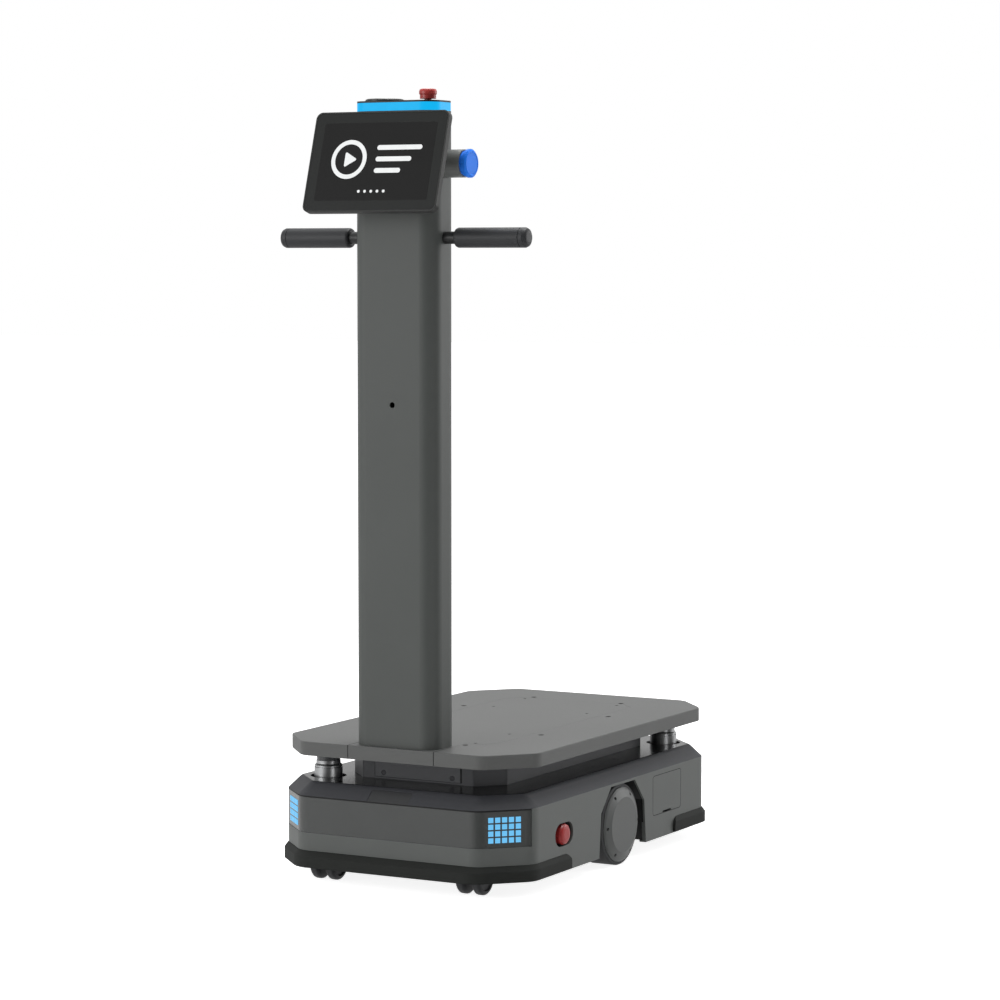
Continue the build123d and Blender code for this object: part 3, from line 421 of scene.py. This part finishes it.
dress(turned_metal("turned_aluminium", aluminium_grey, rough=0.33, rings=along_z), "scanner_mounts")
dress(turned_metal("turned_steel", steel_grey, rough=0.32, rings=along_x), "arm_pins")
dress(turned_metal("plated_steel", plated_grey, rough=0.36, rings=along_z), "caster_plates",
      *[f"caster_fork_{name}" for name in caster_names])
dress(turned_metal("cast_aluminium", cast_grey, rough=0.45, rings=cast_grain), "control_unit",
      "drive_motor_left", "drive_motor_right", "drive_hub_left", "drive_hub_right")
dress(turned_metal("blackened_screws", screw_grey, rough=0.4, rings=along_x),
      "cover_screws_left", "cover_screws_right", "fixed_screws")


# Window band, lamps and light ring.
# The nose band is smoked plastic; blue lamps shine through both of its corners. The
# ring at the mast head is a milky light guide lit from inside.
window_black = (67, 69, 68)
sensor_black = (40, 41, 43)
hood_grey = (70, 71, 73)
lamp_blue = (112, 196, 246)
ring_blue = (18, 186, 250)
haze_scale = 18.0
haze_detail = 6.0
haze_drift = 0.05
haze_gloss_spread = 0.03
least_rough = 0.02
coat_rough = 0.08
glass_edge = 0.0006
glow_scale = 60.0
glow_detail = 2.0
dimmest_glow = 0.92
brightest_glow = 1.06
glow_rough = 0.35
glow_sheen = 0.1


def smoked(name, colour, rough, coat, sheen=0.5):
    """Dark glossy plastic or glass with faint cloudiness and a clear coat."""
    material, nodes, links = fresh_material(name)
    shader = nodes["Principled BSDF"]
    base = linear(colour)
    haze = object_noise(nodes, links, haze_scale, haze_detail)
    tone = drifting_tone(nodes, links, haze, tinted(base, 1 - haze_drift), tinted(base, 1 + haze_drift))
    links.new(tone, shader.inputs["Base Color"])
    vary_gloss(nodes, links, haze, max(rough - haze_gloss_spread, least_rough), rough + haze_gloss_spread)
    shader.inputs["Specular IOR Level"].default_value = sheen
    shader.inputs["Coat Weight"].default_value = coat
    shader.inputs["Coat Roughness"].default_value = coat_rough
    links.new(soft_normal(nodes, glass_edge), shader.inputs["Normal"])
    return material


def glowing(name, colour, strength, body_share):
    """Milky plastic lit from behind, a little uneven over its surface."""
    material, nodes, links = fresh_material(name)
    shader = nodes["Principled BSDF"]
    base = linear(colour)
    cells = object_noise(nodes, links, glow_scale, glow_detail)
    tone = drifting_tone(nodes, links, cells, tinted(base, dimmest_glow), tinted(base, brightest_glow))
    dim = nodes.new("ShaderNodeMix")
    dim.data_type = "RGBA"
    dim.blend_type = "MULTIPLY"
    dim.inputs["Factor"].default_value = 1.0
    links.new(tone, dim.inputs[colour_a])
    dim.inputs[colour_b].default_value = (body_share, body_share, body_share, 1)
    links.new(dim.outputs[colour_out], shader.inputs["Base Color"])
    links.new(tone, shader.inputs["Emission Color"])
    shader.inputs["Emission Strength"].default_value = strength
    shader.inputs["Specular IOR Level"].default_value = glow_sheen
    shader.inputs["Roughness"].default_value = glow_rough
    return material


dress(smoked("nose_window", window_black, rough=0.24, coat=0.3), "front_window")
dress(smoked("sensor_glass", sensor_black, rough=0.32, coat=0.0), "sensor_window")
dress(smoked("scanner_hood", hood_grey, rough=0.16, coat=0.6), "scanner_hoods")
dress(glowing("corner_lamps", lamp_blue, strength=0.85, body_share=0.2), "window_lamps")
dress(glowing("ring_light", ring_blue, strength=0.9, body_share=0.1), "light_ring")


# Touch screen.
# Black cover glass lies in the case. The display under it shows the white shapes of a plain
# status page: a progress ring with a travel arrow, three text bars and a row of page dots.
glass_black = (28, 30, 29)
page_black = (25, 25, 25)
page_white = (244, 246, 246)
screen_tilt = radians(17.1)
glass_half_thickness = 0.00085
display_width = 0.217
display_height = 0.1356
display_corner = 0.003
round_corner_steps = 6
film = 0.00008
shape_layer = 1
ring_place = (-0.052, 0.004)
ring_radius = 0.034
ring_stroke = 0.0075
ring_facets = 96
arrow_radius = 0.016
arrow_corner = 0.004
bar_start = 0.004
bar_radius = 0.0042
bar_facets = 32
bar_lengths = (0.078, 0.060, 0.042)
bar_top = 0.024
bar_pitch = 0.020
dot_radius = 0.0026
dot_facets = 24
dot_pitch = 0.012
dot_count = 5
dot_height = -0.052
centre_margin = 0.0001
merge_distance = 0.000001
glass_low, glass_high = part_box("screen_glass")
screen_out = Vector((0, -cos(screen_tilt), sin(screen_tilt)))
screen_up = Vector((0, sin(screen_tilt), cos(screen_tilt)))
glass_middle = (Vector(glass_low) + Vector(glass_high)) / 2 + screen_out * glass_half_thickness
screen_turn = (pi / 2 - screen_tilt, 0, 0)


def on_screen(across, up, layer):
    """A point on the glass, counted from its middle, some films above it."""
    return glass_middle + Vector((across, 0, 0)) + screen_up * up + screen_out * film * layer


def open_piece(name):
    """Name the new primitive and open it in edit mode, selected all over."""
    piece = bpy.context.object
    piece.name = name
    bpy.ops.object.mode_set(mode="EDIT")
    bpy.ops.mesh.select_all(action="SELECT")
    return piece


def flat_disc(name, across, up, radius, corners):
    """A thin flat shape on the display, with this many corners, left open in edit mode."""
    bpy.ops.object.select_all(action="DESELECT")
    bpy.ops.mesh.primitive_circle_add(vertices=corners, radius=radius, fill_type="NGON",
                                      location=on_screen(across, up, shape_layer), rotation=screen_turn)
    return open_piece(name)


def select_points(piece, test):
    """Select the points of an open piece whose place on it passes the test."""
    bpy.ops.mesh.select_all(action="DESELECT")
    bpy.ops.object.mode_set(mode="OBJECT")
    for point in piece.data.vertices:
        point.select = test(point.co)
    bpy.ops.object.mode_set(mode="EDIT")


def finish_piece(piece, material, body, smooth_deg=35):
    """Close edit mode, settle the piece in its place and give it surface and body."""
    bpy.ops.mesh.select_all(action="SELECT")
    bpy.ops.mesh.remove_doubles(threshold=merge_distance)
    bpy.ops.mesh.normals_make_consistent(inside=False)
    bpy.ops.object.mode_set(mode="OBJECT")
    bpy.ops.object.transform_apply(location=True, rotation=True, scale=True)
    bpy.ops.object.shade_smooth_by_angle(angle=radians(smooth_deg))
    piece.data.materials.append(material)
    if body:
        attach(piece, body)


def thicken_film():
    """Give the open flat shape its one film of thickness."""
    bpy.ops.mesh.select_all(action="SELECT")
    bpy.ops.mesh.extrude_region_move(TRANSFORM_OT_translate={"value": screen_out * film})


dress(smoked("cover_glass", glass_black, rough=0.26, coat=0.0, sheen=0.3), "screen_glass")
display_black = smoked("display_black", page_black, rough=0.24, coat=0.0, sheen=0.22)
screen_white = glowing("screen_white", page_white, strength=0.75, body_share=0.3)

bpy.ops.object.select_all(action="DESELECT")
bpy.ops.mesh.primitive_plane_add(size=1.0, location=on_screen(0, 0, 0), rotation=screen_turn)
display = open_piece("display_panel")
bpy.ops.transform.resize(value=(display_width, display_height, display_height),
                         center_override=on_screen(0, 0, 0))
bpy.ops.mesh.bevel(offset=display_corner, segments=round_corner_steps, affect="VERTICES")
thicken_film()
finish_piece(display, display_black, "base")

ring = flat_disc("progress_ring", *ring_place, ring_radius, ring_facets)
bpy.ops.mesh.inset(thickness=ring_stroke, depth=0)
bpy.ops.mesh.delete(type="FACE")
thicken_film()
finish_piece(ring, screen_white, "base")

arrow = flat_disc("travel_arrow", *ring_place, arrow_radius, 3)
bpy.ops.transform.rotate(value=pi / 2, orient_axis="Z", orient_type="LOCAL",
                         center_override=on_screen(*ring_place, shape_layer))
bpy.ops.mesh.bevel(offset=arrow_corner, segments=round_corner_steps, affect="VERTICES")
thicken_film()
finish_piece(arrow, screen_white, "base")

for row, bar_length in enumerate(bar_lengths):
    bar = flat_disc(f"status_bar_{row}", bar_start, bar_top - row * bar_pitch, bar_radius, bar_facets)
    select_points(bar, lambda place: place.x > centre_margin)
    bpy.ops.transform.translate(value=(bar_length, 0, 0))
    thicken_film()
    finish_piece(bar, screen_white, "base")

for column in range(dot_count):
    dot_across = (column - (dot_count - 1) / 2) * dot_pitch
    dot = flat_disc(f"page_dot_{column}", dot_across, dot_height, dot_radius, dot_facets)
    thicken_film()
    finish_piece(dot, screen_white, "base")


# Camera lens.
# The ceiling camera looks up through a small glass dome standing in the well of its housing.
lens_radius = 0.0064
lens_flatness = 0.45
lens_sink = 0.0015
lens_facets = 48
lens_glass = (16, 18, 26)
camera_low, camera_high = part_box("ceiling_camera")
lens_place = ((camera_low[0] + camera_high[0]) / 2, (camera_low[1] + camera_high[1]) / 2,
              camera_high[2] - lens_sink)
bpy.ops.object.select_all(action="DESELECT")
bpy.ops.mesh.primitive_uv_sphere_add(segments=lens_facets, ring_count=lens_facets // 2,
                                     radius=lens_radius, location=lens_place)
lens = open_piece("camera_lens")
select_points(lens, lambda place: place.z < -centre_margin)
bpy.ops.mesh.delete(type="VERT")
bpy.ops.mesh.select_non_manifold()
bpy.ops.mesh.edge_face_add()
bpy.ops.mesh.select_all(action="SELECT")
bpy.ops.transform.resize(value=(1, 1, lens_flatness), center_override=lens_place)
finish_piece(lens, smoked("lens_glass", lens_glass, rough=0.05, coat=0.8), "base")


# Drive arm springs.
# Each arm carries its side of the robot on a double-waisted rubber spring, bonded to the arm's
# pad below and to the chassis plate above. The real spring squeezes and stretches as the arm
# swings; this one is built at rest and follows no body.
spring_profile = ((0.10, 1.0), (0.20, 0.86), (0.28, 0.74), (0.38, 0.86), (0.50, 1.0),
                  (0.62, 0.86), (0.72, 0.74), (0.80, 0.86), (0.90, 1.0), (1.0, 0.97))
spring_facets = 48
spring_smooth_deg = 60
spring_rubber = coated("buffer_rubber", bumper_black, rough=0.7, edge=1.1)
for name in ("left", "right"):
    spring_low, spring_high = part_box(f"arm_buffer_{name}")
    spring_radius = (spring_high[0] - spring_low[0]) / 2
    spring_height = spring_high[2] - spring_low[2]
    spring_x = (spring_low[0] + spring_high[0]) / 2
    spring_y = (spring_low[1] + spring_high[1]) / 2
    bpy.ops.object.select_all(action="DESELECT")
    bpy.ops.mesh.primitive_circle_add(vertices=spring_facets, radius=spring_radius, fill_type="NGON",
                                      location=(spring_x, spring_y, spring_low[2]))
    spring = open_piece(f"arm_spring_{name}")
    height, width = 0.0, 1.0
    for next_height, next_width in spring_profile:
        rise = (next_height - height) * spring_height
        bpy.ops.mesh.extrude_region_move(TRANSFORM_OT_translate={"value": (0, 0, rise)})
        bpy.ops.transform.resize(value=(next_width / width, next_width / width, 1),
                                 center_override=(spring_x, spring_y, spring_low[2]))
        height, width = next_height, next_width
    finish_piece(spring, spring_rubber, None, spring_smooth_deg)
    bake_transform(spring)
    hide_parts(f"arm_buffer_{name}")


# Rubber lips and seals.
# A black lip closes the slit between each wheel well and the side wall, a thin gasket fills
# the seam round each hatch, and dark strips lie in the joints of panel and window. The dark
# strips in the seams of the deck are painted shade, put where the seam's shadow falls.
seal_tone = (24, 25, 25)
lip_inner_x = 0.2377
lip_outer_x = 0.2410
lip_heights = (0.062, 0.104, 0.1487)
lip_half_lengths = (0.0918, 0.0880, 0.0485)
lip_thickness = 0.0018
facing_cosine = 0.9
gasket_size = (0.1165, 0.0725)
gasket_place = (0.24495, 0.2005, 0.105)
gasket_corner = 0.0062
gasket_width = 0.0011
gasket_height = 0.00012
joint_half_width = 0.0008
joint_proud = 0.00005
joint_rise = 0.001
joint_reach = 0.06
tongue_side = 0.08425
panel_joint_width = 0.0032
panel_joint_depth = 0.001
window_seal_height = 0.0024
window_seal_width = 0.0006
window_seal_inset = 0.0003
nose_cut = 0.0708
nose_tangent = 0.0157
seal_corner_steps = 8


def open_box(name, low, high):
    """A box between two corners, left open in edit mode."""
    middle = [(a + b) / 2 for a, b in zip(low, high)]
    bpy.ops.object.select_all(action="DESELECT")
    bpy.ops.mesh.primitive_cube_add(size=1.0, location=middle)
    box = open_piece(name)
    bpy.ops.transform.resize(value=[b - a for a, b in zip(low, high)], center_override=middle)
    return box


def select_faces(piece, test):
    """Select the faces of an open piece whose normal passes the test."""
    bpy.ops.mesh.select_mode(type="FACE")
    bpy.ops.mesh.select_all(action="DESELECT")
    bpy.ops.object.mode_set(mode="OBJECT")
    for face in piece.data.polygons:
        face.select = test(face.normal)
    bpy.ops.object.mode_set(mode="EDIT")


seal_and_shade_black = coated("seal_and_shade_black", seal_tone, rough=0.7, edge=1.0)
wheel_low, wheel_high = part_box("drive_tyre_left")
wheel_y = (wheel_low[1] + wheel_high[1]) / 2
low_z, mid_z, top_z = lip_heights
low_half, mid_half, top_half = lip_half_lengths
deck_low, deck_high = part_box("deck_plate")
for name, side in (("left", 1), ("right", -1)):
    near = min(side * lip_inner_x, side * lip_outer_x)
    distant = max(side * lip_inner_x, side * lip_outer_x)
    lip = open_box(f"arch_lip_{name}", (near, wheel_y - low_half, low_z),
                   (distant, wheel_y + low_half, mid_z))
    lip_middle = ((near + distant) / 2, wheel_y, mid_z)
    select_points(lip, lambda place: place.z > 0)
    bpy.ops.transform.resize(value=(1, mid_half / low_half, 1), center_override=lip_middle)
    bpy.ops.mesh.extrude_region_move(TRANSFORM_OT_translate={"value": (0, 0, top_z - mid_z)})
    bpy.ops.transform.resize(value=(1, top_half / mid_half, 1), center_override=lip_middle)
    select_faces(lip, lambda normal: abs(normal.x) > facing_cosine or normal.z < -facing_cosine)
    bpy.ops.mesh.delete(type="FACE")
    bpy.ops.mesh.select_all(action="SELECT")
    bpy.ops.mesh.solidify(thickness=-lip_thickness)
    bpy.ops.mesh.select_mode(type="VERT")
    finish_piece(lip, seal_and_shade_black, "base")

    gasket_middle = (side * gasket_place[0], gasket_place[1], gasket_place[2])
    bpy.ops.object.select_all(action="DESELECT")
    bpy.ops.mesh.primitive_plane_add(size=1.0, location=gasket_middle,
                                     rotation=(pi / 2, 0, side * pi / 2))
    gasket = open_piece(f"hatch_gasket_{name}")
    bpy.ops.transform.resize(value=(1, gasket_size[0], gasket_size[1]), center_override=gasket_middle)
    bpy.ops.mesh.bevel(offset=gasket_corner, segments=seal_corner_steps, affect="VERTICES")
    bpy.ops.mesh.select_all(action="SELECT")
    bpy.ops.mesh.inset(thickness=gasket_width, depth=0)
    bpy.ops.mesh.delete(type="FACE")
    bpy.ops.mesh.select_all(action="SELECT")
    bpy.ops.mesh.extrude_region_move(TRANSFORM_OT_translate={"value": (side * gasket_height, 0, 0)})
    finish_piece(gasket, seal_and_shade_black, "base")

    # Painted shade: a dark strip standing in for the shadow in each seam of the deck's centre plate.
    tongue_x = side * tongue_side
    joint = open_box(f"deck_seam_shade_{name}",
                     (tongue_x - joint_half_width, deck_low[1] - joint_proud, deck_low[2] + joint_rise),
                     (tongue_x + joint_half_width, deck_low[1] + joint_reach, deck_high[2] + joint_proud))
    finish_piece(joint, seal_and_shade_black, "base")

panel_low, panel_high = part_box("pedestal_panel")
panel_edge, panel_front = panel_high[0], panel_low[1]
panel_joint = open_box("panel_joint",
                       (panel_edge - panel_joint_width / 2, panel_front - joint_proud, panel_low[2]),
                       (panel_edge + panel_joint_width / 2, panel_front + panel_joint_depth, panel_high[2]))
finish_piece(panel_joint, seal_and_shade_black, "base")

seal_middle = ((cover_low[0] + cover_high[0]) / 2, (cover_low[1] + cover_high[1]) / 2,
               cover_low[2] - window_seal_height)
bpy.ops.object.select_all(action="DESELECT")
bpy.ops.mesh.primitive_plane_add(size=1.0, location=seal_middle)
window_seal = open_piece("window_seal")
seal_size = [high - low - 2 * window_seal_inset for low, high in zip(cover_low, cover_high)]
bpy.ops.transform.resize(value=seal_size, center_override=seal_middle)
bpy.ops.mesh.bevel(offset=nose_cut, segments=1, affect="VERTICES")
bpy.ops.mesh.select_all(action="SELECT")
bpy.ops.mesh.bevel(offset=nose_tangent, segments=seal_corner_steps, affect="VERTICES")
bpy.ops.mesh.select_all(action="SELECT")
bpy.ops.mesh.inset(thickness=window_seal_width, depth=0)
bpy.ops.mesh.delete(type="FACE")
seal_end = cover_low[1] + nose_cut - seal_middle[1]
select_points(window_seal, lambda place: place.y > seal_end)
bpy.ops.mesh.delete(type="VERT")
bpy.ops.mesh.select_all(action="SELECT")
bpy.ops.mesh.extrude_region_move(TRANSFORM_OT_translate={"value": (0, 0, window_seal_height)})
finish_piece(window_seal, seal_and_shade_black, "base")


# Charging contacts.
# Two brass plates with rounded edges stand a little proud of the rear wall of the body.
contact_size = (0.058, 0.0016, 0.015)
contact_corner = 0.0007
contact_corner_steps = 3
contact_tone = (196, 158, 92)
contact_side = 0.048
contact_height = 0.104
rear_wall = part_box("body_shell")[1][1]
contact_brass = turned_metal("contact_brass", contact_tone, rough=0.3, rings=along_x)
for name, side in (("charging_contact_left", 1), ("charging_contact_right", -1)):
    contact_place = (side * contact_side, rear_wall + contact_size[1] / 2, contact_height)
    contact = open_box(name, [place - size / 2 for place, size in zip(contact_place, contact_size)],
                       [place + size / 2 for place, size in zip(contact_place, contact_size)])
    bpy.ops.mesh.bevel(offset=contact_corner, segments=contact_corner_steps, affect="EDGES")
    finish_piece(contact, contact_brass, "base")


# Buttons.
# The stop knobs are glossy red plastic, the call button is blue with a bevelled rim.
side_stop_red = (158, 46, 46)
top_stop_red = (182, 62, 58)
call_blue = (42, 130, 255)
dress(smoked("stop_red", side_stop_red, rough=0.34, coat=0.1, sheen=0.35),
      "side_stop_button_left", "side_stop_button_right")
dress(smoked("knob_red", top_stop_red, rough=0.34, coat=0.1, sheen=0.35), "top_stop_button")
dress(smoked("call_blue", call_blue, rough=0.45, coat=0.0, sheen=0.12), "call_button")
